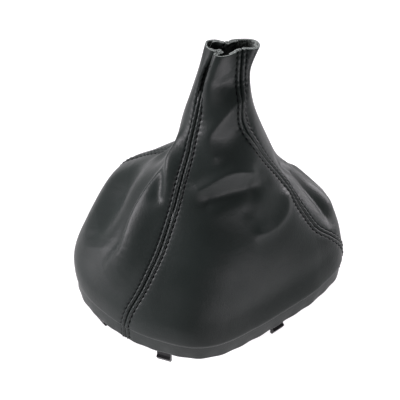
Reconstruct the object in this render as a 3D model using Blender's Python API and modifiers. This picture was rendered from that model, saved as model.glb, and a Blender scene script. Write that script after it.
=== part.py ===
"""Gear lever gaiter: three sewn leather panels, wrapped over a moulded clip frame and stapled under it.

Metres, +Z up. The clip tips stand on z = 0, +X points to the centre seam, and the rim is the same on both
sides of the XZ plane. A place on the leather is an angle from +X, in degrees, and a level: the number of
the ring it lies on, from 0 at the crease over the frame to the last ring at the mouth.
"""

import math

import bmesh
import bpy
import numpy as np

MM = 0.001
WELD = 0.001 * MM

# Leather and its seams
LEATHER = 1.1 * MM
CLEARANCE = 0.3 * MM
ALLOWANCE = 7.0 * MM
ALLOWANCE_LEVEL = 0.7
LIP_LEVEL = 0.3
LIP_EDGE = 0.9
BEND_SHARE = 0.2
HEM_WIDTH = 5.2 * MM
HEM_BEND = 1.0 * MM
HEM_BEVEL = 0.3
SIDE_COLUMNS = 13
END_COLUMNS = 11
ROWS_ABOVE = 21
PANEL_COLUMNS = {"near_side_panel": SIDE_COLUMNS, "far_side_panel": SIDE_COLUMNS, "end_panel": END_COLUMNS}

# Clip frame
BAND_HEIGHT = 10.0 * MM
WALL = 2.2 * MM
FLANGE_THICKNESS = 3.0 * MM
CLIP_ANGLES = (46, 120, 163)
CLIP_WIDTH = 8.5 * MM
CLIP_THICKNESS = 2.2 * MM
CLIP_REACH = 14.0 * MM
CLIP_BARB = 1.3 * MM
CLIP_BARB_HEIGHT = 3.2 * MM
CLIP_NOSE = 0.5 * MM

# Staples
STAPLE_CROWN = 8.0 * MM
STAPLE_WIRE = 0.5 * MM
PANEL_STAPLES = {"near_side_panel": 9, "far_side_panel": 9, "end_panel": 6}

# The leather's middle above the crease: its height, and the rim's reach along X and along Y
SKIN_HEIGHT = 158.0 * MM
RIM_REACH_X = 81.5 * MM
RIM_REACH_Y = 70.0 * MM

# Half outline of the rim: angle from the centre seam, share of a plain oval. The other half mirrors it.
RIM_SHAPE = (
    (0, 1.0),
    (22, 0.88),
    (45, 0.81),
    (70, 0.86),
    (98, 1.005),
    (120, 0.98),
    (150, 0.95),
    (180, 0.98),
)

# Rings of the skin: share of SKIN_HEIGHT, reach to the right and left as shares of RIM_REACH_X, to the near
# and far side as shares of RIM_REACH_Y, share of RIM_SHAPE, and the angles of the near, centre and far seams.
RINGS = (
    (0.0, 1.0, -0.982, -1.0, 1.0, 1.0, -136, 0, 136),
    (0.076, 1.0, -0.994, -1.057, 1.057, 1.0, -134, -4, 136),
    (0.152, 0.969, -0.933, -1.014, 1.043, 0.9, -129, -11, 138),
    (0.228, 0.871, -0.834, -0.914, 1.014, 0.7, -126, -18, 141),
    (0.329, 0.712, -0.638, -0.729, 0.829, 0.5, -126, -18, 146),
    (0.468, 0.528, -0.405, -0.514, 0.543, 0.2, -132, -17, 148),
    (0.614, 0.405, -0.233, -0.357, 0.343, 0.0, -138, -35, 140),
    (0.759, 0.31, -0.141, -0.229, 0.214, 0.0, -144, -48, 128),
    (0.899, 0.276, -0.06, -0.157, 0.143, 0.0, -145, -49, 118),
    (1.0, 0.344, -0.025, -0.114, 0.1, 0.0, -149, -58, 112),
)
TOP = len(RINGS) - 1

# Folds: depth outwards and width on the left and right of the stroke, as shares of FOLD_SIZE, and the
# stroke's points as (angle, level).
FOLD_SIZE = 10.0 * MM
FOLDS = {
    "shoulder puff, far left": (0.35, 1.4, 1.4, ((150, 3.5), (130, 3.1))),
    "left flank": (0.12, 1.4, 1.4, ((162, 2.6), (168, 2.0))),
    "neck hollow, far left": (-0.5, 1.2, 1.2, ((132, 5.0), (148, 5.8), (158, 5.3))),
    "shoulder puff, far right": (0.65, 1.2, 1.2, ((15, 2.5), (28, 3.0))),
    "left ridge": (0.55, 0.5, 1.4, ((-184, 5.1), (-180, 4.9), (-172, 4.2), (-164, 3.5), (-161, 2.6))),
    "left hollow": (-0.5, 1.0, 0.8, ((-204, 4.6), (-193, 4.1), (-184, 3.6), (-175, 3.0), (-170, 2.4))),
    "left tuck": (-0.3, 0.6, 0.5, ((-166, 6.2), (-154, 5.5), (-148, 4.9))),
    "neck tuck at the near seam": (-0.45, 0.4, 0.3, ((-149, 9.2), (-145, 8.2), (-146, 7.5))),
    "front brow": (0.25, 0.7, 0.7, ((-50, 7.1), (-72, 7.0), (-100, 6.6), (-114, 6.35), (-104, 6.0))),
    "front hollow": (-0.4, 0.9, 0.9, ((-62, 6.3), (-84, 6.1))),
    "front arc": (0.25, 0.6, 0.7, ((-114, 5.4), (-96, 5.7), (-78, 5.8), (-58, 5.7))),
    "under the arc": (-0.3, 0.7, 0.7, ((-104, 5.2), (-84, 5.3), (-58, 5.3))),
    "diagonal tuck": (-0.25, 0.4, 0.5, ((-42, 5.2), (-56, 5.1), (-66, 4.8))),
    "right arc": (0.2, 0.5, 0.7, ((-24, 4.5), (-32, 4.25), (-46, 4.1), (-60, 4.15))),
    "middle hollow": (-0.2, 1.6, 1.6, ((-84, 4.5), (-50, 4.3))),
    "right ridge": (0.3, 0.6, 0.6, ((1, 4.5), (-4, 4.0), (-10, 3.3))),
    "right hollow": (-0.35, 0.9, 0.9, ((26, 4.6), (18, 3.9), (12, 3.2))),
    "far hollow": (-0.4, 1.4, 1.4, ((80, 5.0), (88, 4.2), (92, 3.2))),
    "far brow": (0.3, 0.9, 0.9, ((60, 6.0), (90, 5.7), (120, 5.9))),
}
FOLD_FADE = 0.9

# Places that follow from the sizes
CREASE_Z = CLIP_REACH + BAND_HEIGHT
HALF = LEATHER / 2
FRAME_INSET = HALF + CLEARANCE
FRAME_BOTTOM = BAND_HEIGHT - LEATHER - CLEARANCE
FRAME_TOP = CLEARANCE + HALF
HEM_DROP = BAND_HEIGHT - HALF
HEM_PATH = (
    (HEM_WIDTH - HALF, HEM_DROP),
    (HEM_BEND + HALF + LEATHER, HEM_DROP),
    (HEM_BEND, HEM_DROP),
    (HEM_BEND * HEM_BEVEL, HEM_DROP - HEM_BEND * HEM_BEVEL),
    (0.0, HEM_DROP - HEM_BEND),
)
FOLD_DEPTH = LEATHER + CLEARANCE
EDGE_TURN = HALF + FOLD_DEPTH / 2
CLIP_INSET = HEM_WIDTH + CLEARANCE + CLIP_BARB + CLIP_THICKNESS / 2
FLANGE_INSET = CLIP_INSET + CLIP_THICKNESS / 2 + CLEARANCE
STAPLE_INSET = (HEM_BEND + HEM_WIDTH) / 2
STAPLE_LEG = LEATHER + 2 * CLEARANCE + FLANGE_THICKNESS / 2
ANGLE_STEP = 0.01
LEVEL_STEP = 0.01


def blend(table, at):
    """The table's columns at a place between its rows, on a smooth curve through the rows."""
    table = np.asarray(table, float)
    at = np.asarray(at, float)
    last = len(table) - 1
    row = np.clip(np.floor(at).astype(int), 0, last - 1)
    part = (at - row)[..., None]
    before, start, end, after = (table[np.clip(row + step, 0, last)] for step in (-1, 0, 1, 2))
    leave, arrive = (end - before) / 2, (after - start) / 2
    return (
        (2 * part**3 - 3 * part**2 + 1) * start
        + (part**3 - 2 * part**2 + part) * leave
        + (3 * part**2 - 2 * part**3) * end
        + (part**3 - part**2) * arrive
    )


def rim_shape(angle):
    """The rim's reach as a share of a plain oval's, at an angle in radians."""
    turned = np.degrees(np.abs((angle + np.pi) % (2 * np.pi) - np.pi))
    half = np.array(RIM_SHAPE)
    mirrored = np.concatenate([half[1:2], half, half[-2:-1]])[:, 1:]
    return blend(mirrored, np.interp(turned, half[:, 0], np.arange(len(half))) + 1)[..., 0]


def ring(level):
    """A ring's height, and its reach to the right, left, near and far side, in metres."""
    sizes = (SKIN_HEIGHT, RIM_REACH_X, RIM_REACH_X, RIM_REACH_Y, RIM_REACH_Y)
    return blend(RINGS, level)[..., :5] * sizes


def ring_spread(level):
    """A ring's mean reach."""
    return np.mean(np.abs(ring(level)[..., 1:]), axis=-1)


def slant(level):
    """How far up the skin a level lies from the crease."""
    whole = np.arange(TOP + 1)
    rise = np.diff(ring(whole)[..., 0])
    run = np.diff(ring_spread(whole))
    return np.interp(level, whole, np.concatenate([[0.0], np.cumsum(np.hypot(rise, run))]))


def skin(angle, level):
    """Points in the middle of the leather's thickness, without folds or turned edges."""
    angle, level = np.broadcast_arrays(np.asarray(angle, float), np.asarray(level, float))
    height, right, left, near, far = np.moveaxis(ring(level), -1, 0)
    shape = 1 + blend(RINGS, level)[..., 5] * (rim_shape(angle) - 1)
    radius = shape / np.hypot(2 * np.cos(angle) / (right - left), 2 * np.sin(angle) / (far - near))
    x, y = (right + left) / 2 + radius * np.cos(angle), (far + near) / 2 + radius * np.sin(angle)
    return np.stack([x, y, CREASE_Z + height], -1)


def outward(angle, level, place):
    """Unit normals of the surface that place gives."""
    across = place(angle + ANGLE_STEP, level) - place(angle - ANGLE_STEP, level)
    up = place(angle, np.minimum(level + LEVEL_STEP, TOP)) - place(angle, np.maximum(level - LEVEL_STEP, 0))
    normal = np.cross(across, up)
    return normal / np.linalg.norm(normal, axis=-1, keepdims=True)


def half_turn(angle):
    """An angle in radians brought between minus and plus half a turn."""
    return (angle + np.pi) % (2 * np.pi) - np.pi


def fold_lift(angle, level):
    """How far the folds lift the skin outwards. A fold is a ridge, or a hollow, along its stroke."""
    total = np.zeros(np.shape(angle))
    spread, height = ring_spread(level), slant(level)
    for depth, left, right, stroke in FOLDS.values():
        nearest, side = np.full(np.shape(angle), np.inf), np.zeros(np.shape(angle))
        for (start, start_level), (end, end_level) in zip(stroke, stroke[1:]):
            across, up = half_turn(angle - math.radians(start)) * spread, height - slant(start_level)
            reach, rise = math.radians(end - start) * spread, slant(end_level) - slant(start_level)
            along = np.clip((across * reach + up * rise) / (reach * reach + rise * rise), 0, 1)
            away = np.hypot(across - along * reach, up - along * rise)
            side = np.where(away < nearest, reach * up - rise * across, side)
            nearest = np.minimum(away, nearest)
        width = np.where(side > 0, left, right) * FOLD_SIZE
        total += depth * FOLD_SIZE * np.exp(-((nearest / width) ** 2))
    return total * np.clip(level / FOLD_FADE, 0, 1) ** 2


def folded_skin(angle, level):
    angle, level = np.broadcast_arrays(np.asarray(angle, float), np.asarray(level, float))
    return skin(angle, level) + outward(angle, level, skin) * fold_lift(angle, level)[..., None]


def rim_frame(angle):
    """The crease's point at an angle, and the level unit vector pointing out of it."""
    run = skin(angle + ANGLE_STEP, 0.0) - skin(angle - ANGLE_STEP, 0.0)
    out = np.stack([run[..., 1], -run[..., 0], np.zeros(np.shape(angle))], -1)
    return skin(angle, 0.0), out / np.linalg.norm(out, axis=-1, keepdims=True)


def seam_angles(level):
    """The near, centre and far seams at a level, in radians."""
    return np.radians(blend(RINGS, level)[..., 6:9])


def panel_columns(count):
    """Across a panel: (share of the width, distance in from the edge, depth under the skin) of each column."""
    turned = [
        (EDGE_TURN + ALLOWANCE, FOLD_DEPTH),
        (EDGE_TURN, FOLD_DEPTH),
        (HALF, (1 - BEND_SHARE) * FOLD_DEPTH),
        (HALF, BEND_SHARE * FOLD_DEPTH),
        (EDGE_TURN, 0.0),
    ]
    left = [(0.0, edge, depth) for edge, depth in turned]
    right = [(1.0, -edge, depth) for edge, depth in reversed(turned)]
    middle = [(k / count, 0.0, 0.0) for k in range(1, count)]
    return left + middle + right


def flat_columns(count):
    """The same columns in the band and the hem, where the allowances are cut away."""
    steps = np.linspace(0.0, EDGE_TURN, 5).tolist()
    left = [(0.0, step, 0.0) for step in steps]
    right = [(1.0, -step, 0.0) for step in reversed(steps)]
    return left + [(k / count, 0.0, 0.0) for k in range(1, count)] + right


def levels_above():
    """The levels of a panel's rows above the crease."""
    return [LIP_LEVEL] + np.linspace(ALLOWANCE_LEVEL, TOP, ROWS_ABOVE + 1).tolist()


def edge_angle(start, end, share, edge, level):
    """The angle at a share of the way across, plus a distance on the leather from the panel's edge."""
    angle = start + (end - start) * share
    span = folded_skin(angle + ANGLE_STEP, level) - folded_skin(angle - ANGLE_STEP, level)
    gap = np.where(share == 0.0, CLEARANCE / 2, np.where(share == 1.0, -CLEARANCE / 2, 0.0))
    return angle + (edge + gap) * 2 * ANGLE_STEP / np.linalg.norm(span, axis=-1)


def panel_seams(name, level):
    near, centre, far = np.moveaxis(seam_angles(level), -1, 0)
    return {
        "near_side_panel": (near, centre),
        "far_side_panel": (centre, far),
        "end_panel": (far, near + 2 * math.pi),
    }[name]


def panel_points(name):
    """Where every corner of a panel's grid lies, by column and row from the hem's end to the mouth."""
    count = PANEL_COLUMNS[name]
    hem, levels = np.array(HEM_PATH + ((0.0, 0.0),)), np.array(levels_above())
    share, edge, _ = np.array(flat_columns(count)).T[:, :, None]
    start, end = panel_seams(name, 0.0)
    point, out = rim_frame(edge_angle(start, end, share, edge, 0.0))
    below = point - out * hem[:, :1] - np.array((0, 0, 1)) * hem[:, 1:]
    share, edge, depth = np.array(panel_columns(count)).T[:, :, None]
    start, end = panel_seams(name, levels)
    lip = np.clip(edge, -LIP_EDGE * EDGE_TURN, LIP_EDGE * EDGE_TURN)
    edge = np.where((levels == LIP_LEVEL) & (np.abs(edge) > EDGE_TURN), lip, edge)
    angle = edge_angle(start, end, share, edge, levels)
    above = folded_skin(angle, levels) - outward(angle, levels, folded_skin) * depth[..., None]
    return np.concatenate([below, above], axis=1)


def finish(name, mesh, material, collection, smooth=None):
    obj = bpy.data.objects.new(name, mesh)
    collection.objects.link(obj)
    if material:
        mesh.materials.append(material)
    if smooth is not None:
        mesh.shade_smooth()
        mesh.set_sharp_from_angle(angle=math.radians(smooth))
    return obj


def material(name, colour, roughness, metallic=0.0):
    made = bpy.data.materials.new(name)
    made.use_nodes = True
    shader = made.node_tree.nodes["Principled BSDF"]
    shader.inputs["Base Color"].default_value = (*colour, 1.0)
    shader.inputs["Roughness"].default_value = roughness
    shader.inputs["Metallic"].default_value = metallic
    return made


def mapped_grid(name, places, closed=False):
    """A grid whose corner (i, j) is put at places[i, j]."""
    mesh = bpy.data.meshes.new(name)
    bm = bmesh.new()
    across, along = places.shape[0] - 1, places.shape[1] - 1
    bmesh.ops.create_grid(bm, x_segments=across, y_segments=along, size=1.0)
    for vertex in bm.verts:
        i = round((vertex.co.x + 1) / 2 * across)
        j = round((vertex.co.y + 1) / 2 * along)
        vertex.co = places[i, j]
    if closed:
        bmesh.ops.remove_doubles(bm, verts=bm.verts, dist=WELD)
        bmesh.ops.recalc_face_normals(bm, faces=bm.faces)
    bm.to_mesh(mesh)
    bm.free()
    return mesh


def panel(name, leather, collection, holes):
    mesh = mapped_grid(name, panel_points(name))
    obj = finish(name, mesh, leather, collection, smooth=50)
    wall = obj.modifiers.new("thickness", "SOLIDIFY")
    wall.thickness, wall.offset = LEATHER, 0.0
    cut(obj, holes)
    return obj


def cut(obj, cutter, operation="DIFFERENCE"):
    boolean = obj.modifiers.new(cutter.name, "BOOLEAN")
    boolean.operation, boolean.object, boolean.solver = operation, cutter, "EXACT"


def rim_stations():
    """The angles of every panel column at the rim, so that the frame's flats lie under the leather's."""
    found = []
    for name, count in PANEL_COLUMNS.items():
        start, end = panel_seams(name, 0.0)
        found += [float(start + (end - start) * k / count) for k in range(count)]
    return found


def frame_section():
    """The frame's section, as (inset from the leather, drop below the crease): an upright wall on a flange."""
    return (
        (FRAME_INSET, FRAME_TOP),
        (FRAME_INSET, FRAME_BOTTOM),
        (FLANGE_INSET, FRAME_BOTTOM),
        (FLANGE_INSET, FRAME_BOTTOM - FLANGE_THICKNESS),
        (FRAME_INSET + WALL, FRAME_BOTTOM - FLANGE_THICKNESS),
        (FRAME_INSET + WALL, FRAME_TOP),
    )


def outline_solid(name, points, thickness, collection):
    """A flat outline in the XY plane with half its thickness on each side."""
    curve = bpy.data.curves.new(name, "CURVE")
    curve.dimensions, curve.fill_mode, curve.extrude = "2D", "BOTH", thickness / 2
    spline = curve.splines.new("POLY")
    spline.points.add(len(points) - 1)
    for target, (x, y) in zip(spline.points, points):
        target.co = (x, y, 0.0, 1.0)
    spline.use_cyclic_u = True
    obj = bpy.data.objects.new(name, curve)
    collection.objects.link(obj)
    return obj


def as_mesh(obj, collection):
    """The curve object as a closed mesh object in its place."""
    bpy.context.view_layer.update()
    mesh = bpy.data.meshes.new_from_object(obj.evaluated_get(bpy.context.evaluated_depsgraph_get()))
    bm = bmesh.new()
    bm.from_mesh(mesh)
    bmesh.ops.remove_doubles(bm, verts=bm.verts, dist=WELD)
    bm.to_mesh(mesh)
    bm.free()
    made = bpy.data.objects.new(obj.name + "_mesh", mesh)
    made.matrix_world = obj.matrix_world
    collection.objects.link(made)
    bpy.data.objects.remove(obj)
    return made


def stand(obj, point, out):
    """Puts an outline upright: its Y is up, and its X runs along the rim."""
    obj.location = point
    obj.rotation_euler = (math.pi / 2, 0.0, math.atan2(out[1], out[0]) + math.pi / 2)


def clip(angle, collection):
    """A snap tongue under the flange: its outline is seen along the rim, with a barb that faces out."""
    root, tip, back = FLANGE_THICKNESS / 2, -(BAND_HEIGHT + CLIP_REACH - FRAME_BOTTOM), -CLIP_THICKNESS / 2
    points = (
        (back, root),
        (back, tip),
        (-back - CLIP_NOSE, tip),
        (-back + CLIP_BARB, tip + CLIP_BARB_HEIGHT),
        (-back, tip + CLIP_BARB_HEIGHT + CLIP_BARB),
        (-back, root),
    )
    made = outline_solid("clip", points, CLIP_WIDTH, collection)
    point, out = rim_frame(np.float64(angle))
    made.location = point - out * CLIP_INSET - np.array((0, 0, FRAME_BOTTOM))
    made.rotation_euler = (math.pi / 2, 0.0, math.atan2(out[1], out[0]))
    return as_mesh(made, collection)


def clip_frame(plastic, collection, cutters, holes):
    stations, section = rim_stations(), frame_section()
    point, out = rim_frame(np.array(stations + stations[:1])[:, None])
    around = np.array(section + section[:1])
    places = point - out * around[:, :1] - np.array((0, 0, 1)) * around[:, 1:]
    mesh = mapped_grid("clip_frame", places, closed=True)
    frame = finish("clip_frame", mesh, plastic, collection, smooth=35)
    for side in (1, -1):
        for degrees in CLIP_ANGLES:
            tongue = clip(math.radians(side * degrees), cutters)
            cut(frame, tongue, "UNION")
    cut(frame, holes)
    return frame


def staple_angles():
    """Evenly spaced along each panel's hem, clear of the seams."""
    found = []
    for name, count in PANEL_STAPLES.items():
        start, end = panel_seams(name, 0.0)
        found += [start + (end - start) * (k + 0.5) / count for k in range(count)]
    return found


def staple_place(angle):
    point, out = rim_frame(np.float64(angle))
    return point - out * STAPLE_INSET - np.array((0, 0, BAND_HEIGHT + CLEARANCE)), out


def staple(index, angle, steel, collection):
    """A flat wire bent square: the crown under the hem, the legs up through it into the flange."""
    half, wire = STAPLE_CROWN / 2, STAPLE_WIRE
    points = (
        (-half, STAPLE_LEG),
        (-half, -wire),
        (half, -wire),
        (half, STAPLE_LEG),
        (half - wire, STAPLE_LEG),
        (half - wire, 0.0),
        (-half + wire, 0.0),
        (-half + wire, STAPLE_LEG),
    )
    made = outline_solid(f"staple_{index:02d}", points, STAPLE_WIRE, collection)
    made.data.materials.append(steel)
    stand(made, *staple_place(angle))
    return made


def leg_holes(cutters):
    """One cutter for every staple leg: a square slot with clearance all round."""
    mesh = bpy.data.meshes.new("leg_holes")
    bm = bmesh.new()
    side, bottom, top = STAPLE_WIRE + 2 * CLEARANCE, -2 * CLEARANCE, STAPLE_LEG + CLEARANCE
    for angle in staple_angles():
        point, out = staple_place(angle)
        along = np.array((-out[1], out[0], 0.0))
        for end in (-1, 1):
            middle = point + along * end * (STAPLE_CROWN - STAPLE_WIRE) / 2
            for vertex in bmesh.ops.create_cube(bm, size=1.0)["verts"]:
                x, y, z = vertex.co
                lift = np.array((0, 0, (top + bottom) / 2 + z * (top - bottom)))
                vertex.co = middle + along * x * side + out * y * side + lift
    bmesh.ops.recalc_face_normals(bm, faces=bm.faces)
    bm.to_mesh(mesh)
    bm.free()
    return finish("leg_holes", mesh, None, cutters)


def hide(collection):
    for obj in collection.objects:
        obj.hide_render = True
        obj.display_type = "WIRE"


def main():
    for obj in list(bpy.data.objects):
        bpy.data.objects.remove(obj)
    gaiter = bpy.data.collections.new("gear lever gaiter")
    cutters = bpy.data.collections.new("cutters")
    bpy.context.scene.collection.children.link(gaiter)
    bpy.context.scene.collection.children.link(cutters)
    leather = material("black leather", (0.022, 0.024, 0.024), 0.5)
    plastic = material("black plastic", (0.012, 0.012, 0.012), 0.42)
    steel = material("staple steel", (0.62, 0.63, 0.64), 0.3, metallic=1.0)
    holes = leg_holes(cutters)
    for name in PANEL_COLUMNS:
        panel(name, leather, gaiter, holes)
    clip_frame(plastic, gaiter, cutters, holes)
    for index, angle in enumerate(staple_angles(), 1):
        staple(index, angle, steel, gaiter)
    hide(cutters)


main()
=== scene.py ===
import math

import bmesh
import bpy
import numpy as np
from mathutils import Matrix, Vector


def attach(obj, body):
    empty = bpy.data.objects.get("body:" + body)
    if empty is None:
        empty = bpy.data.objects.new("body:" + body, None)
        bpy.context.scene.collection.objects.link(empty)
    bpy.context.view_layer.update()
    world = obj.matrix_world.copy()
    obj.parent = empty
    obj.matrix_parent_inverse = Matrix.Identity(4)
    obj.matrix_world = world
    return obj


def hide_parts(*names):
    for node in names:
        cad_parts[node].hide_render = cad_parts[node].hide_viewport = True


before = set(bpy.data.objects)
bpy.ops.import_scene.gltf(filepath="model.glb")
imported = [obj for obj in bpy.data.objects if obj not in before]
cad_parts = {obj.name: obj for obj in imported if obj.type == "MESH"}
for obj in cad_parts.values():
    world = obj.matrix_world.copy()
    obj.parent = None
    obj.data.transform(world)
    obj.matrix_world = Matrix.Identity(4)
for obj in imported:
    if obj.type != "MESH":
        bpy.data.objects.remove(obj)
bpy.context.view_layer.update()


# Clip frame: one moulding of black plastic, an upright wall on a flange with six snap clips under it.
# The leather is wrapped over the wall, so that only the clips show below it.
MM = 0.001
PLASTIC_DARK = (0.008, 0.008, 0.009)
PLASTIC_LIGHT = (0.014, 0.014, 0.015)
PLASTIC_GRAIN = 900.0
PLASTIC_CLOUD = 160.0
PLASTIC_GRAIN_DEPTH = 0.05 * MM


def procedural(name, **sockets):
    """A node material with its own texture coordinates: (material, nodes, link, shader, coordinates)."""
    made = bpy.data.materials.new(name)
    made.use_nodes = True
    nodes, link = made.node_tree.nodes, made.node_tree.links.new
    shader = nodes["Principled BSDF"]
    for socket, value in sockets.items():
        shader.inputs[socket.replace("_", " ")].default_value = value
    return made, nodes, link, shader, nodes.new("ShaderNodeTexCoord")


def noise(nodes, link, coordinates, scale, detail=3.0, roughness=0.5):
    texture = nodes.new("ShaderNodeTexNoise")
    texture.inputs["Scale"].default_value = scale
    texture.inputs["Detail"].default_value = detail
    texture.inputs["Roughness"].default_value = roughness
    link(coordinates.outputs["Object"], texture.inputs["Vector"])
    return texture.outputs["Fac"]


def ramp(nodes, link, source, dark, light, low=0.3, high=0.7):
    """Two colours or greys, blended where a grey source goes from low to high."""
    made = nodes.new("ShaderNodeValToRGB")
    for element, position, colour in zip(made.color_ramp.elements, (low, high), (dark, light)):
        element.position = position
        element.color = (*colour, 1.0) if isinstance(colour, tuple) else (colour, colour, colour, 1.0)
    link(source, made.inputs["Fac"])
    return made.outputs["Color"]


def vary(nodes, link, socket, source, dark, light, low=0.3, high=0.7):
    """Drives one of the shader's sockets with such a blend."""
    link(ramp(nodes, link, source, dark, light, low, high), socket)


def relief(nodes, link, shader, height, distance, strength=1.0, under=None):
    """Bump from a grey height, over the bump below it if one is given."""
    bump = nodes.new("ShaderNodeBump")
    bump.inputs["Distance"].default_value = distance
    bump.inputs["Strength"].default_value = strength
    link(height, bump.inputs["Height"])
    if under:
        link(under, bump.inputs["Normal"])
    link(bump.outputs["Normal"], shader.inputs["Normal"])
    return bump.outputs["Normal"]


plastic, nodes, link, shader, place = procedural("moulded black plastic", IOR=1.5, Specular_IOR_Level=0.2)
speckle = noise(nodes, link, place, PLASTIC_GRAIN)
vary(nodes, link, shader.inputs["Base Color"], speckle, PLASTIC_DARK, PLASTIC_LIGHT)
cloud = noise(nodes, link, place, PLASTIC_CLOUD)
vary(nodes, link, shader.inputs["Roughness"], cloud, 0.34, 0.46, low=0.35, high=0.65)
relief(nodes, link, shader, speckle, PLASTIC_GRAIN_DEPTH, 0.5)
clip_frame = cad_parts["clip_frame"]
clip_frame.data.materials.clear()
clip_frame.data.materials.append(plastic)


# Staples: flat steel wire, shot up through the turned-under leather into the frame's flange.
# They show only from below, with a slightly scratched bright finish.
STEEL_DARK = (0.45, 0.46, 0.48)
STEEL_LIGHT = (0.62, 0.63, 0.65)
SCRATCHES = 700.0
SCRATCH_DEPTH = 0.02 * MM

steel, nodes, link, shader, place = procedural("staple steel", Metallic=1.0)
scratch = noise(nodes, link, place, SCRATCHES, 4.0)
vary(nodes, link, shader.inputs["Base Color"], scratch, STEEL_DARK, STEEL_LIGHT)
vary(nodes, link, shader.inputs["Roughness"], scratch, 0.24, 0.4)
relief(nodes, link, shader, scratch, SCRATCH_DEPTH, 0.4)
for name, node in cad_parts.items():
    if name.startswith("staple_"):
        node.data.materials.clear()
        node.data.materials.append(steel)


# Leather: three panels cut from smooth black cowhide, 1.1 mm thick, sewn edge to edge and drawn over the
# frame. A place on the leather is an angle from the right, and a level: 0 at the crease over the frame's
# top edge, 9 at the cut mouth where the neck goes round the gear lever.
LEATHER = 1.1 * MM
HALF = LEATHER / 2
SEAM_GAP = 0.04 * MM
CREASE_Z = 24.0 * MM
BAND_HEIGHT = 10.0 * MM
SKIN_HEIGHT = 158.0 * MM
RIM_REACH_X = 81.5 * MM
RIM_REACH_Y = 70.0 * MM
RIM_SHAPE = (
    (0, 1.0),
    (22, 0.88),
    (45, 0.81),
    (70, 0.86),
    (98, 1.005),
    (120, 0.98),
    (150, 0.95),
    (180, 0.98),
)
# The form by level: height up to the mouth; reach to the right and left, and to the near and far side, as
# shares of the frame's; how much of the frame's outline it keeps; and the angles of the three seams.
RINGS = (
    (0.0, 1.0, -0.982, -1.0, 1.0, 1.0, -138, 0, 136),
    (0.076, 1.0, -0.994, -0.965, 1.04, 1.08, -134.5, -4, 136),
    (0.152, 0.969, -0.933, -0.905, 1.043, 1.0, -131, -11, 137),
    (0.228, 0.871, -0.834, -0.825, 1.014, 0.75, -127.5, -18, 136),
    (0.329, 0.712, -0.638, -0.705, 0.829, 0.5, -127.5, -18, 132),
    (0.468, 0.528, -0.405, -0.514, 0.543, 0.2, -132, -17, 131),
    (0.614, 0.405, -0.233, -0.357, 0.343, 0.0, -138, -35, 129),
    (0.759, 0.31, -0.141, -0.229, 0.214, 0.0, -144, -48, 124),
    (0.899, 0.276, -0.06, -0.157, 0.143, 0.0, -148, -49, 118),
    (1.0, 0.344, -0.025, -0.114, 0.1, 0.0, -148, -58, 112),
)
TOP = len(RINGS) - 1
# Outlines of the neck, seen from above: angle, right, far (mm). The near seam is rolled deep into a furrow
# that the front of the neck overhangs, and the far seam is pinched in.
NECK = (
    (-180, -4.6, 2.5),
    (-171, -4.7, -0.4),
    (-163, -3.9, -2.5),
    (-155, -2.0, -1.8),
    (-148, 0.8, 0.0),
    (-143, 0.3, -2.6),
    (-137, -1.0, -5.6),
    (-130, -2.0, -8.5),
    (-120, 0.4, -10.6),
    (-105, 5.0, -10.6),
    (-85, 9.2, -9.4),
    (-68, 12.3, -7.7),
    (-58, 15.2, -6.2),
    (-45, 18.5, -5.3),
    (-28, 21.7, -4.2),
    (-10, 22.9, -0.6),
    (10, 22.4, 3.4),
    (30, 20.8, 6.7),
    (60, 15.2, 9.2),
    (85, 10.1, 9.6),
    (100, 6.9, 8.6),
    (112, 4.6, 7.3),
    (120, 3.1, 8.4),
    (132, 0.2, 8.8),
    (150, -2.4, 7.6),
    (165, -3.9, 5.4),
    (180, -4.6, 2.5),
)
MOUTH = (
    (-180, -0.9, 3.4),
    (-172, 0.5, -0.2),
    (-164, 2.4, -2.3),
    (-156, 4.9, -3.1),
    (-148, 7.4, -2.6),
    (-143, 5.6, -4.2),
    (-137, 3.2, -5.2),
    (-130, 3.3, -6.9),
    (-120, 6.4, -8.2),
    (-105, 10.0, -7.5),
    (-85, 13.0, -5.8),
    (-68, 15.2, -3.9),
    (-58, 18.2, -2.3),
    (-45, 21.4, -2.3),
    (-28, 25.4, -3.0),
    (-10, 28.0, -0.2),
    (10, 27.4, 4.0),
    (30, 24.2, 6.3),
    (60, 18.2, 7.0),
    (85, 14.2, 6.8),
    (100, 11.6, 5.6),
    (112, 9.9, 4.2),
    (120, 8.6, 6.2),
    (132, 5.8, 7.6),
    (150, 3.0, 7.9),
    (165, 0.3, 6.8),
    (180, -0.9, 3.4),
)
NECK_FROM = 6.9
NECK_LEVEL = 8
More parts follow.
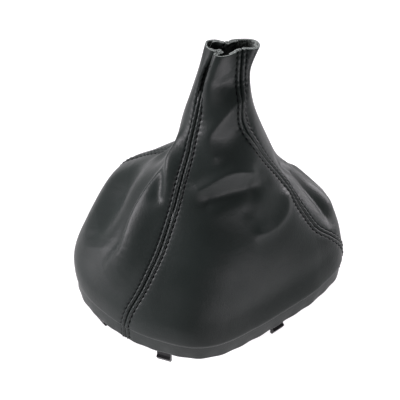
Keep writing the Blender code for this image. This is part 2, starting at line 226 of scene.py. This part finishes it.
# Folds: width left and right of the stroke (mm), how sharp the crest is from 0 to 1, and the stroke as
# (angle, level, mm outwards). A stroke of three points or more is drawn as a smooth curve.
FOLDS = {
    "shoulder puff, far left": (14, 14, 0, ((150, 3.5, 3.5), (130, 3.1, 3.5))),
    "neck hollow, far left": (12, 12, 0, ((132, 5.0, -5.0), (148, 5.8, -5.0), (158, 5.3, -5.0))),
    "shoulder puff, far right": (12, 12, 0, ((15, 2.5, 5.5), (26, 3.2, 5.5))),
    "right bulge": (7, 7, 0, ((4, 4.6, 3.0), (7, 4.0, 3.0), (5, 3.5, 3.0), (1, 3.0, 3.0))),
    "front brow": (6, 6, 0.4, (
        (-50, 7.4, 1.5), (-72, 7.3, 2.2), (-100, 6.95, 2.2), (-114, 6.6, 2.2), (-104, 6.2, 1.8),
    )),
    "front hollow": (9, 9, 0, ((-62, 6.65, -2.4), (-84, 6.4, -2.6))),
    "front arc": (5, 6, 0.5, ((-114, 5.4, 2.2), (-96, 5.7, 2.2), (-78, 5.8, 2.2), (-58, 5.7, 2.2))),
    "under the arc": (6, 6, 0, ((-104, 5.2, -2.8), (-84, 5.3, -2.8), (-58, 5.3, -2.8))),
    "diagonal tuck": (5, 5, 0, ((-42, 5.2, -0.9), (-56, 5.1, -0.9), (-66, 4.8, -0.9))),
    "right arc": (5, 6, 0.4, ((-24, 4.5, 1.6), (-32, 4.25, 1.6), (-46, 4.1, 1.6), (-60, 4.15, 1.6))),
    "middle hollow": (16, 16, 0, ((-84, 4.5, -1.6), (-50, 4.3, -1.6))),
    "far hollow": (14, 14, 0, ((80, 5.0, -4.0), (88, 4.2, -4.0), (92, 3.2, -4.0))),
    "far brow": (9, 9, 0, ((60, 6.0, 3.0), (90, 5.7, 3.0), (120, 5.9, 3.0))),
    "left ridge": (13, 4.5, 0.1, (
        (-157, 6.2, 2.5), (-158, 5.6, 5.5), (-158, 5.1, 7.0), (-155, 4.5, 7.5),
        (-149, 3.8, 6.5), (-147, 3.2, 4.5), (-153, 2.1, 1.0),
    )),
    "left hollow": (10, 12, 0, (
        (152, 4.5, -2.0), (163, 4.15, -5.0), (174, 3.8, -6.5),
        (184, 3.4, -5.5), (190, 3.0, -3.0), (194, 2.5, -0.5),
    )),
    "neck crease, left": (5, 4, 0.3, (
        (-163, 6.3, 1.5), (-155, 5.8, 3.0), (-147, 5.45, 3.5), (-142.5, 5.1, 2.5), (-141, 4.8, 0.5),
    )),
    "left pit": (5, 5, 0, ((-158, 5.55, -1.5), (-152, 5.25, -3.0), (-147, 4.95, -2.5))),
    "neck dent": (6, 6, 0, ((-100, 8.2, -0.5), (-90, 7.95, -1.6), (-75, 7.8, -1.2))),
    "neck swell": (6, 6, 0, ((-92, 8.7, 0.6), (-78, 8.5, 0.8))),
    "right groove": (5, 4, 0.4, (
        (-3, 5.3, -1.0), (0, 4.7, -2.5), (1, 4.1, -3.0), (-2, 3.6, -3.0), (-5.5, 3.1, -2.5), (-8, 2.5, -0.8),
    )),
}
STROKE_PARTS = 3
CREST_RADIUS = 0.8 * MM
CREST_SPREAD = 0.55
FOLDS_FULL = 0.9
# Just above the crease the leather droops a little over the frame's edge, most of all in front (mm by
# angle). The droop fades quickly below its middle and slowly above it.
DROOP = ((-180, 0.8), (-150, 0.8), (-125, 1.5), (-60, 2.4), (-20, 2.0), (0, 1.2), (30, 0.8), (180, 0.8))
DROOP_MIDDLE = 2.5 * MM
DROOP_BELOW = 1.6 * MM
DROOP_ABOVE = 10 * MM
DROOP_FULL = 1.5 * MM
# Half of the span over which slopes are measured, in radians and in levels.
STEP = 0.004


def blend(table, at):
    """The table's columns at a place between its rows, on a smooth curve through the rows."""
    table, at = np.asarray(table, float), np.asarray(at, float)
    last = len(table) - 1
    row = np.clip(np.floor(at).astype(int), 0, last - 1)
    part = (at - row)[..., None]
    before, start, end, after = (table[np.clip(row + step, 0, last)] for step in (-1, 0, 1, 2))
    leave, arrive = (end - before) / 2, (after - start) / 2
    curve = (2 * part**3 - 3 * part**2 + 1) * start + (part**3 - 2 * part**2 + part) * leave
    return curve + (3 * part**2 - 2 * part**3) * end + (part**3 - part**2) * arrive


def half_turn(angle):
    return (angle + np.pi) % (2 * np.pi) - np.pi


def rise(low, high, value):
    """From 0 at low to 1 at high, with soft ends."""
    part = np.clip((value - low) / (high - low), 0, 1)
    return part * part * (3 - 2 * part)


def ring(level):
    return blend(RINGS, level)[..., :5] * (SKIN_HEIGHT, RIM_REACH_X, RIM_REACH_X, RIM_REACH_Y, RIM_REACH_Y)


def ring_spread(level):
    return np.mean(np.abs(ring(level)[..., 1:]), axis=-1)


LEVELS = np.arange(TOP + 1)
CLIMB = np.cumsum([0.0, *np.hypot(np.diff(ring(LEVELS)[:, 0]), np.diff(ring_spread(LEVELS)))])


def slant(level):
    """How far up the leather a level lies from the crease."""
    return np.interp(level, LEVELS, CLIMB)


def oval_skin(angle, level):
    """The leather's smooth form, in the middle of its thickness."""
    height, right, left, near, far = np.moveaxis(ring(level), -1, 0)
    half = np.array(RIM_SHAPE)
    mirrored = np.concatenate([half[1:2], half, half[-2:-1]])[:, 1:]
    turned = np.interp(np.degrees(np.abs(half_turn(angle))), half[:, 0], np.arange(len(half)))
    shape = 1 + blend(RINGS, level)[..., 5] * (blend(mirrored, turned + 1)[..., 0] - 1)
    radius = shape / np.hypot(2 * np.cos(angle) / (right - left), 2 * np.sin(angle) / (far - near))
    x, y = (right + left) / 2 + radius * np.cos(angle), (far + near) / 2 + radius * np.sin(angle)
    return np.stack([x, y, CREASE_Z + height + 0 * x], -1)


def drawn_in(angle, outline, level):
    """How far an outline moves the smooth form of one level sideways."""
    outline = np.array(outline, float)
    row = np.interp(np.degrees(half_turn(angle)), outline[:, 0], np.arange(len(outline)))
    return blend(outline[:, 1:] * MM, row) - oval_skin(angle, float(level))[..., :2]


def skin(angle, level):
    """The smooth form with its neck drawn into the outlines."""
    lower, upper = rise(NECK_FROM, NECK_LEVEL, level), rise(NECK_LEVEL, TOP, level)
    lower, upper = (share[..., None] for share in np.broadcast_arrays(lower + 0 * angle, upper + 0 * angle))
    neck, mouth = drawn_in(angle, NECK, NECK_LEVEL), drawn_in(angle, MOUTH, TOP)
    points = oval_skin(angle, level)
    points[..., :2] += neck * (lower - upper) + mouth * upper
    return points


def outward(angle, level, form):
    """Unit normals of the surface that a form gives."""
    across = form(angle + STEP, level) - form(angle - STEP, level)
    up = form(angle, np.minimum(level + STEP, TOP)) - form(angle, np.maximum(level - STEP, 0))
    normal = np.cross(across, up)
    return normal / np.linalg.norm(normal, axis=-1, keepdims=True)


def fold_lift(angle, level):
    """How far the folds, ridges and hollows move the leather outwards."""
    total = 0.0 * angle
    spread, height = ring_spread(level), slant(level)
    for left, right, sharp, stroke in FOLDS.values():
        nearest, side, depth = np.inf, 0.0, 0.0
        spans = len(stroke) - 1
        stroke = blend(stroke, np.linspace(0, spans, 1 + spans * (STROKE_PARTS if spans > 1 else 1)))
        for (start, start_level, start_depth), (end, end_level, end_depth) in zip(stroke, stroke[1:]):
            across, up = half_turn(angle - math.radians(start)) * spread, height - slant(start_level)
            reach, climb = math.radians(end - start) * spread, slant(end_level) - slant(start_level)
            along = np.clip((across * reach + up * climb) / (reach * reach + climb * climb), 0, 1)
            away = np.hypot(across - along * reach, up - along * climb)
            turn = (reach * up - climb * across) / np.hypot(reach, climb) / np.maximum(away, 0.01 * MM)
            side = np.where(away < nearest, turn, side)
            depth = np.where(away < nearest, start_depth + along * (end_depth - start_depth), depth)
            nearest = np.minimum(away, nearest)
        width = (left * (1 + side) + right * (1 - side)) / 2 * MM
        crest = np.exp(-(np.hypot(nearest, CREST_RADIUS) - CREST_RADIUS) / (CREST_SPREAD * width))
        total += depth * MM * (sharp * crest + (1 - sharp) * np.exp(-((nearest / width) ** 2)))
    angles, droops = zip(*DROOP)
    droop = np.interp(np.degrees(half_turn(angle)), angles, droops) * MM
    fade = np.where(height < DROOP_MIDDLE, DROOP_BELOW, DROOP_ABOVE)
    droop = droop * np.exp(-(((height - DROOP_MIDDLE) / fade) ** 2)) * rise(0.0, DROOP_FULL, height)
    return total * np.clip(level / FOLDS_FULL, 0, 1) ** 2 + droop


def leather(angle, level):
    """The form with its folds."""
    return skin(angle, level) + outward(angle, level, skin) * fold_lift(angle, level)[..., None]


STITCH_PITCH = 3.4 * MM
STITCH_EDGE = 2.7 * MM
# Beside a seam, all in mm: distance from the joint, width, height, and the height that every stitch adds.
SEWN_FORMS = {
    "groove": (0.0, 0.7, -0.35, 0.0),
    "welt": (1.5, 0.6, 0.5, -0.15),
    "stitch channel": (STITCH_EDGE / MM, 0.6, -0.6, -0.35),
    "pucker": (4.0, 1.3, -0.1, -0.08),
}
SEAMS = ("near_seam", "centre_seam", "far_seam")
# Panels: first and last seam, and the columns of mesh between the sewn strips.
PANELS = {"near_side": (0, 1, 118), "far_side": (1, 2, 118), "end": (2, 0, 104)}
ROWS = 236
# The seam allowance turns back under the panel's edge. It lies flat at the crease and is turned fully a
# little way up.
ALLOWANCE = 7.0 * MM
ALLOWANCE_FULL = 4.0 * MM
FOLD_DEPTH = LEATHER + SEAM_GAP
TURN = HALF + FOLD_DEPTH / 2
TURN_COLUMNS = 7
TAIL_COLUMNS = 4
SEWN_COLUMNS = np.array([1.5, 1.75, 2.0, 2.25, 2.5, 2.75, 3.0, 3.3, 3.7, 4.2, 4.8, 5.6, 6.6, 8.0]) * MM
# Below the crease, in mm: drops down the band, the bend round the frame's lower edge, and the hem's reach
# under the frame. The seams' relief ends at the bend.
BAND_DROPS = (0.7, 1.5, 2.4, 3.4, 4.4, 5.4, 6.4, 7.3, 8.1, 8.45)
BEND_RADIUS = 1.0
BEND_ANGLES = (22, 45, 68, 90)
HEM_REACHES = (1.9, 3.2, 4.65)
BAND_RELIEF_END = 8.5 * MM
JOINT_ROUNDING = 0.4 * MM
SCALLOP_DEPTH = 0.45 * MM
SCALLOP_PITCH = 13.5 * MM
SCALLOP_FROM = 0.35


def seam_angle(seam, level, turns=0.0):
    return np.radians(blend(RINGS, level)[..., 6 + seam]) + turns


def sewn_relief(edge, run):
    """How far the seam draws the leather in or out, by distance from its edge and along it."""
    e, beat = edge / MM, np.cos(2 * np.pi * run / STITCH_PITCH)
    total = 0.0
    for place, width, height, swing in SEWN_FORMS.values():
        total = total + np.exp(-(((e - place) / width) ** 2)) * (height + swing * beat)
    return total * MM


def scallop(run, drop):
    """How far the tight hem draws in the band's lower edge, in shallow waves round the frame."""
    wave = 0.5 + 0.5 * np.cos(2 * np.pi * run / SCALLOP_PITCH)
    return SCALLOP_DEPTH * wave * rise(SCALLOP_FROM, 1.0, drop)


def across_places(width, count, turned):
    """Across a panel of some width: distance from its first edge, and depth under the skin.

    The allowances are turned under it by a share from 0 to 1."""
    bend = np.linspace(0.0, np.pi, TURN_COLUMNS)[::-1]
    tail = np.linspace(1.0, 0.0, TAIL_COLUMNS)[:-1]
    edge = np.concatenate([TURN + tail * ALLOWANCE, TURN - np.sin(bend) * FOLD_DEPTH / 2, SEWN_COLUMNS])
    under = np.concatenate([
        np.full(len(tail), FOLD_DEPTH),
        (1 - np.cos(bend)) * FOLD_DEPTH / 2,
        0 * SEWN_COLUMNS,
    ])
    middle = np.linspace(edge[-1], width - edge[-1], count + 2)[1:-1]
    place = np.concatenate([edge, middle, width - edge[::-1]])
    depth = np.concatenate([under, 0 * middle, under[::-1]])
    tucked = (depth > 0) & (np.minimum(place, width - place) > 0)
    first = np.arange(len(place)) < len(place) / 2
    order = np.cumsum(tucked & first) - 1
    order = np.where(first, order, order[::-1])
    share = order / max(1, (tucked & first).sum() - 1)
    flat = np.where(tucked, np.where(first, share * TURN, width - share * TURN), place)
    return flat + (place - flat) * turned, depth * turned


def hem_surface(angle, edge):
    """Below the crease, for each column: from the end of the hem round the frame and up the band."""
    rim = oval_skin(angle, np.zeros(len(angle)))
    tangent = oval_skin(angle + STEP, 0 * angle) - oval_skin(angle - STEP, 0 * angle)
    out = np.stack([tangent[:, 1], -tangent[:, 0], 0 * angle], -1)
    out /= np.linalg.norm(out, axis=-1, keepdims=True)
    bend_from, bend_to = BAND_DROPS[-1], BAND_DROPS[-1] + BEND_RADIUS
    path = [(0.0, drop) for drop in BAND_DROPS]
    for turn in np.radians(BEND_ANGLES):
        path.append((BEND_RADIUS * (1 - math.cos(turn)), bend_from + BEND_RADIUS * math.sin(turn)))
    path += [(reach, bend_to) for reach in HEM_REACHES]
    inward, drop = np.array(path[::-1]).T * MM
    run = np.concatenate([[0.0], np.cumsum(np.linalg.norm(np.diff(rim, axis=0), axis=-1))])
    inset = inward + scallop(run[:, None], drop / BAND_HEIGHT)
    inset = inset - sewn_relief(edge, -drop) * (drop < BAND_RELIEF_END)
    inset = inset + JOINT_ROUNDING * np.clip(1 - edge / TURN, 0, 1) ** 2
    return rim[:, None] - out[:, None] * inset[..., None] - np.array((0, 0, 1)) * drop[:, None]


def panel_surface(first, last, count):
    """The panel's grid of points by column and row, from the end of the hem up to the mouth."""
    heights = np.linspace(0.0, slant(float(TOP)), ROWS)
    whole = np.linspace(0, TOP, 2001)
    levels = np.interp(heights, slant(whole), whole)
    start = seam_angle(first, levels)
    end = seam_angle(last, levels, 2 * np.pi if last < first else 0.0)
    fine = np.linspace(0.0, 1.0, 301)[:, None]
    angles = start + (end - start) * fine
    points = leather(angles, levels)
    steps = np.cumsum(np.linalg.norm(np.diff(points, axis=0), axis=-1), axis=0)
    along = np.concatenate([np.zeros((1, ROWS)), steps])
    turned = rise(0.0, ALLOWANCE_FULL, heights)
    columns, depths, edges = [], [], []
    for row in range(ROWS):
        width = along[-1, row] - SEAM_GAP
        place, depth = across_places(width, count, turned[row])
        columns.append(np.interp(place + SEAM_GAP / 2, along[:, row], angles[:, row]))
        depths.append(depth)
        edges.append(np.minimum(place, width - place))
    columns, depths, edges = (np.array(x).T for x in (columns, depths, edges))
    lift = sewn_relief(edges, heights) * (depths < HALF) - depths
    above = leather(columns, levels) + outward(columns, levels, leather) * lift[..., None]
    return np.concatenate([hem_surface(columns[:, 0], edges[:, :1]), above], axis=1)


def mapped_grid(name, places):
    """A bmesh grid whose corner (i, j) is moved to places[i, j]."""
    mesh, bm = bpy.data.meshes.new(name), bmesh.new()
    across, along = places.shape[0] - 1, places.shape[1] - 1
    bmesh.ops.create_grid(bm, x_segments=across, y_segments=along, size=1.0)
    bm.to_mesh(mesh)
    bm.free()
    corners = np.empty(len(mesh.vertices) * 3)
    mesh.vertices.foreach_get("co", corners)
    i, j, _ = np.rint((corners.reshape(-1, 3).T + 1) / 2 * ((across,), (along,), (0,))).astype(int)
    mesh.vertices.foreach_set("co", places[i, j].ravel())
    mesh.update()
    mesh.shade_smooth()
    return mesh


LEATHER_DARK = (0.008, 0.0115, 0.0105)
LEATHER_LIGHT = (0.011, 0.0157, 0.0145)
DYE_CLOUD = 28.0
POLISH_CLOUD = 60.0
SOFT_GRAIN = 140.0
SOFT_GRAIN_DEPTH = 0.5 * MM
PORES = 1300.0
PORE_DEPTH = 0.12 * MM

grain_leather, nodes, link, shader, place = procedural("smooth black leather", IOR=1.5, Specular_IOR_Level=0.25)
cloud = noise(nodes, link, place, DYE_CLOUD)
vary(nodes, link, shader.inputs["Base Color"], cloud, LEATHER_DARK, LEATHER_LIGHT)
vary(nodes, link, shader.inputs["Roughness"], noise(nodes, link, place, POLISH_CLOUD, 4.0), 0.42, 0.5)
pores = nodes.new("ShaderNodeTexVoronoi")
pores.feature = "F1"
pores.inputs["Scale"].default_value = PORES
link(place.outputs["Object"], pores.inputs["Vector"])
soft = relief(nodes, link, shader, noise(nodes, link, place, SOFT_GRAIN, 4.0, 0.6), SOFT_GRAIN_DEPTH, 0.35)
relief(nodes, link, shader, pores.outputs["Distance"], PORE_DEPTH, 0.35, soft)

# The rough inner side is pale grey suede. It is painted dark as shade, except in the last few millimetres below
# the mouth, where its own pale grey shows.
SHADED_SUEDE_DARK = (0.004, 0.004, 0.004)
SHADED_SUEDE_LIGHT = (0.02, 0.021, 0.02)
PALE_SUEDE_DARK = (0.02, 0.022, 0.02)
PALE_SUEDE_LIGHT = (0.3, 0.33, 0.31)
PALE_FROM = 5 * MM
PALE_FULL = 2 * MM
FIBRES = 900.0
FIBRE_DEPTH = 0.3 * MM

flesh_side, nodes, link, shader, place = procedural("suede flesh side with painted shade", Roughness=0.95)
fibres = noise(nodes, link, place, FIBRES, 5.0, 0.7)
axes, lip, shade_to_pale = (nodes.new("ShaderNode" + kind) for kind in ("SeparateXYZ", "MapRange", "Mix"))
link(place.outputs["Object"], axes.inputs["Vector"])
link(axes.outputs["Z"], lip.inputs["Value"])
lip.inputs["From Min"].default_value = CREASE_Z + SKIN_HEIGHT - PALE_FROM
lip.inputs["From Max"].default_value = CREASE_Z + SKIN_HEIGHT - PALE_FULL
shade_to_pale.data_type = "RGBA"
link(lip.outputs["Result"], shade_to_pale.inputs[0])
# Painted shade: away from the mouth the inner side takes near-black colours, which give way to its own pale
# grey in the last few millimetres.
vary(nodes, link, shade_to_pale.inputs[6], fibres, SHADED_SUEDE_DARK, SHADED_SUEDE_LIGHT, low=0.35)
vary(nodes, link, shade_to_pale.inputs[7], fibres, PALE_SUEDE_DARK, PALE_SUEDE_LIGHT, low=0.4, high=0.62)
link(shade_to_pale.outputs[2], shader.inputs["Base Color"])
relief(nodes, link, shader, fibres, FIBRE_DEPTH, 0.7)

EDGE_DARK = (0.03, 0.034, 0.032)
EDGE_LIGHT = (0.26, 0.29, 0.275)
EDGE_FIBRES = 1400.0
EDGE_FIBRE_DEPTH = 0.2 * MM

cut_edge, nodes, link, shader, place = procedural("raw cut edge", Roughness=0.9)
fibres = noise(nodes, link, place, EDGE_FIBRES, 5.0, 0.7)
vary(nodes, link, shader.inputs["Base Color"], fibres, EDGE_DARK, EDGE_LIGHT, low=0.36, high=0.62)
relief(nodes, link, shader, fibres, EDGE_FIBRE_DEPTH, 0.6)

for panel, (first, last, count) in PANELS.items():
    mesh = mapped_grid(panel + "_leather", panel_surface(first, last, count))
    piece = bpy.data.objects.new(panel + "_leather", mesh)
    bpy.context.scene.collection.objects.link(piece)
    for finish in (grain_leather, flesh_side, cut_edge):
        mesh.materials.append(finish)
    wall = piece.modifiers.new("thickness", "SOLIDIFY")
    wall.thickness, wall.offset = LEATHER, 0.0
    wall.material_offset, wall.material_offset_rim = 1, 2
    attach(piece, "root")
    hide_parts(panel + "_panel")


# Stitching: thick black thread in two rows along each seam, 2.7 mm from the joint on either side. Every
# stitch dips into its holes at both ends and lies in the channel that it draws into the leather.
THREAD = 0.5 * MM
THREAD_DARK = (0.0025, 0.0025, 0.003)
THREAD_LIGHT = (0.007, 0.007, 0.008)
STRANDS = 1500.0
STRAND_DEPTH = 0.1 * MM
# Along one stitch: place in stitch lengths, and height over the leather.
STITCH_PLACES = np.array([-0.4, -0.22, 0.0, 0.22, 0.4])
STITCH_HEIGHTS = np.array([-0.75, -0.05, 0.1, -0.05, -0.75]) * MM

thread, nodes, link, shader, place = procedural("black sewing thread", Roughness=0.85, Specular_IOR_Level=0.05)
strand = noise(nodes, link, place, STRANDS, 2.0)
vary(nodes, link, shader.inputs["Base Color"], strand, THREAD_DARK, THREAD_LIGHT)
relief(nodes, link, shader, strand, STRAND_DEPTH, 0.6)


def stitch_row(curve, seam, side):
    """One row of stitches beside a seam, from the crease to the mouth."""
    stops = np.arange(1, int(slant(TOP) / STITCH_PITCH)) * STITCH_PITCH
    spots = stops[:, None] + STITCH_PLACES * STITCH_PITCH
    level = np.interp(spots, CLIMB, LEVELS)
    angle = seam_angle(seam, level)
    span = leather(angle + STEP, level) - leather(angle - STEP, level)
    angle = angle + side * STITCH_EDGE * 2 * STEP / np.linalg.norm(span, axis=-1)
    for stitch in leather(angle, level) + outward(angle, level, leather) * STITCH_HEIGHTS[:, None]:
        spline = curve.splines.new("NURBS")
        spline.points.add(len(stitch) - 1)
        for target, point in zip(spline.points, stitch):
            target.co = (*point, 1.0)
        spline.order_u, spline.use_endpoint_u, spline.resolution_u = 3, True, 2


for seam, name in enumerate(SEAMS):
    curve = bpy.data.curves.new(name + "_stitches", "CURVE")
    curve.dimensions, curve.bevel_depth = "3D", THREAD
    curve.bevel_resolution, curve.use_fill_caps = 1, True
    stitch_row(curve, seam, 1)
    stitch_row(curve, seam, -1)
    curve.materials.append(thread)
    stitches = bpy.data.objects.new(name + "_stitches", curve)
    bpy.context.scene.collection.objects.link(stitches)
    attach(stitches, "root")


# Studio: a white floor that glows like a light table in a pool round the gaiter, so that the leather
# mirrors it. One big soft light hangs overhead and a little behind, with smaller ones at the sides.
FLOOR_SIZE = 6.0
FLOOR_DROP = 0.0002
FLOOR_GLOW_TINT = (1.0, 0.97, 1.0, 1.0)
# The pool's limits: places where it is faint and full (m), and the glow at both. Its sides open out
# towards the back.
POOL_SIDES = (0.21, 0.125, 0.2, 1.0)
POOL_FRONT = (-0.19, -0.105, 0.3, 1.0)
POOL_BRIGHT_FRONT = (-0.04, -0.08, 1.0, 1.8)
POOL_OPENING = -0.3


def calculate(nodes, link, operation, *sources):
    """A math node fed by sockets or numbers."""
    made = nodes.new("ShaderNodeMath")
    made.operation = operation
    for socket, source in zip(made.inputs, sources):
        if isinstance(source, float):
            socket.default_value = source
        else:
            link(source, socket)
    return made.outputs[0]


def fade(nodes, link, source, faint_at, full_at, faint, full):
    made = nodes.new("ShaderNodeMapRange")
    made.interpolation_type = "SMOOTHSTEP"
    made.inputs["From Min"].default_value, made.inputs["From Max"].default_value = faint_at, full_at
    made.inputs["To Min"].default_value, made.inputs["To Max"].default_value = faint, full
    link(source, made.inputs["Value"])
    return made.outputs["Result"]


bpy.ops.mesh.primitive_plane_add(size=FLOOR_SIZE, location=(0, 0, -FLOOR_DROP))
floor = bpy.context.object
floor.name = "studio_floor"
paper, nodes, link, shader, place = procedural("white light table", Roughness=0.9, Specular_IOR_Level=0.1)
vary(nodes, link, shader.inputs["Base Color"], noise(nodes, link, place, 3.0), 0.24, 0.26)
shader.inputs["Emission Color"].default_value = FLOOR_GLOW_TINT
axes = nodes.new("ShaderNodeSeparateXYZ")
link(place.outputs["Object"], axes.inputs["Vector"])
x, y = axes.outputs["X"], axes.outputs["Y"]
sideways = calculate(nodes, link, "MULTIPLY_ADD", y, POOL_OPENING, calculate(nodes, link, "ABSOLUTE", x))
glow = fade(nodes, link, sideways, *POOL_SIDES)
for limits in (POOL_FRONT, POOL_BRIGHT_FRONT):
    glow = calculate(nodes, link, "MULTIPLY", fade(nodes, link, y, *limits), glow)
link(glow, shader.inputs["Emission Strength"])
floor.data.materials.append(paper)

LAMP_TINT = (1.0, 0.955, 1.0)
# Soft lights: where each stands, what it is aimed at, its width (m) and its power (W).
LIGHTS = {
    "overhead softbox": ((-0.1, 0.35, 1.5), (0, 0, 0.05), 1.1, 19),
    "left softbox": ((-1.01, 0.0, 0.36), (0, 0, 0.08), 0.35, 13),
    "right softbox": ((0.88, 0.45, 0.24), (0, 0, 0.08), 0.5, 7.5),
    "front card": ((0.2, -0.37, 0.015), (0.2, -0.37, 1.0), 0.4, 2.8),
}
for name, (place, aim, size, power) in LIGHTS.items():
    light = bpy.data.lights.new(name, "AREA")
    light.shape, light.size, light.energy, light.color = "DISK", size, power, LAMP_TINT
    lamp = bpy.data.objects.new(name, light)
    bpy.context.scene.collection.objects.link(lamp)
    lamp.location = place
    lamp.rotation_euler = (Vector(aim) - Vector(place)).to_track_quat("-Z", "Y").to_euler()

world = bpy.data.worlds.new("studio air")
world.use_nodes = True
nodes, link = world.node_tree.nodes, world.node_tree.links.new
sky = nodes.new("ShaderNodeTexCoord")
axes = nodes.new("ShaderNodeSeparateXYZ")
link(sky.outputs["Generated"], axes.inputs["Vector"])
tent = ramp(nodes, link, axes.outputs["Y"], 0.15, 0.55, low=0.2, high=0.8)
link(tent, nodes["Background"].inputs["Color"])
bpy.context.scene.world = world
bpy.context.scene.view_settings.view_transform = "Standard"

AZIMUTH, ELEVATION, DISTANCE = math.radians(6), math.radians(40), 0.9
LENS = 132.8
SENSOR = 36.0
PICTURE_POINT = 0.61 * MM
AIM_RIGHT, AIM_UP = -7 * PICTURE_POINT, 64 * PICTURE_POINT
toward = Vector((
    math.sin(AZIMUTH) * math.cos(ELEVATION),
    math.cos(AZIMUTH) * math.cos(ELEVATION),
    -math.sin(ELEVATION),
))
right = Vector((math.cos(AZIMUTH), -math.sin(AZIMUTH), 0))
target = Vector((0, 0, CREASE_Z)) + right * AIM_RIGHT + right.cross(toward) * AIM_UP
lens = bpy.data.cameras.new("camera")
lens.lens, lens.sensor_width, lens.clip_start = LENS, SENSOR, 0.01
camera = bpy.data.objects.new("camera", lens)
bpy.context.scene.collection.objects.link(camera)
camera.location = target - toward * DISTANCE
camera.rotation_euler = toward.to_track_quat("-Z", "Y").to_euler()
bpy.context.scene.camera = camera
